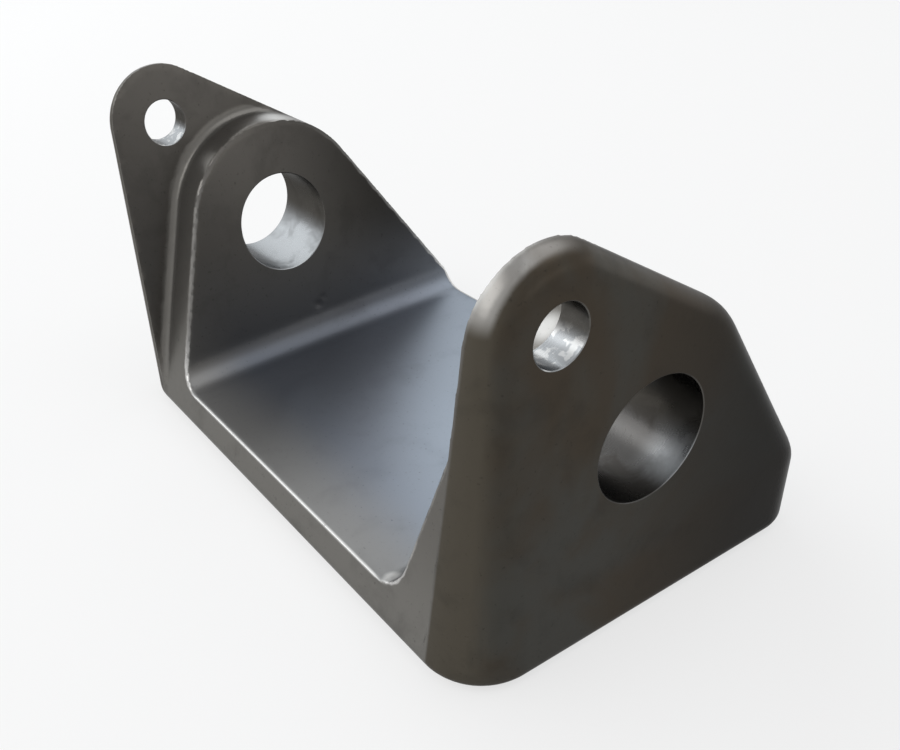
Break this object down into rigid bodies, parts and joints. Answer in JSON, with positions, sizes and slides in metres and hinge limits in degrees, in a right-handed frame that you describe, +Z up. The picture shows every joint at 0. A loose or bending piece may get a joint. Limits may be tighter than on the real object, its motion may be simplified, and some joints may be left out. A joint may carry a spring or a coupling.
{
  "type": "cast bracket",
  "caption": "U-shaped cast bracket with two ears, a pin bore through thick pads, smaller bolt holes in thin upper tips and a flat base.",
  "frame": {"origin": "on the pin bore's axis, midway between the two ears", "axes": "+X along the pin bore, +Y from the open front to the back, +Z up from the flat base"},
  "size_m": [0.185, 0.1096, 0.103],
  "materials": {
    "as_cast": "as-cast satin, dark grey-brown"
  },
  "bodies": {
    "root": {"cast_bracket": "as_cast"}
  },
  "joints": []
}
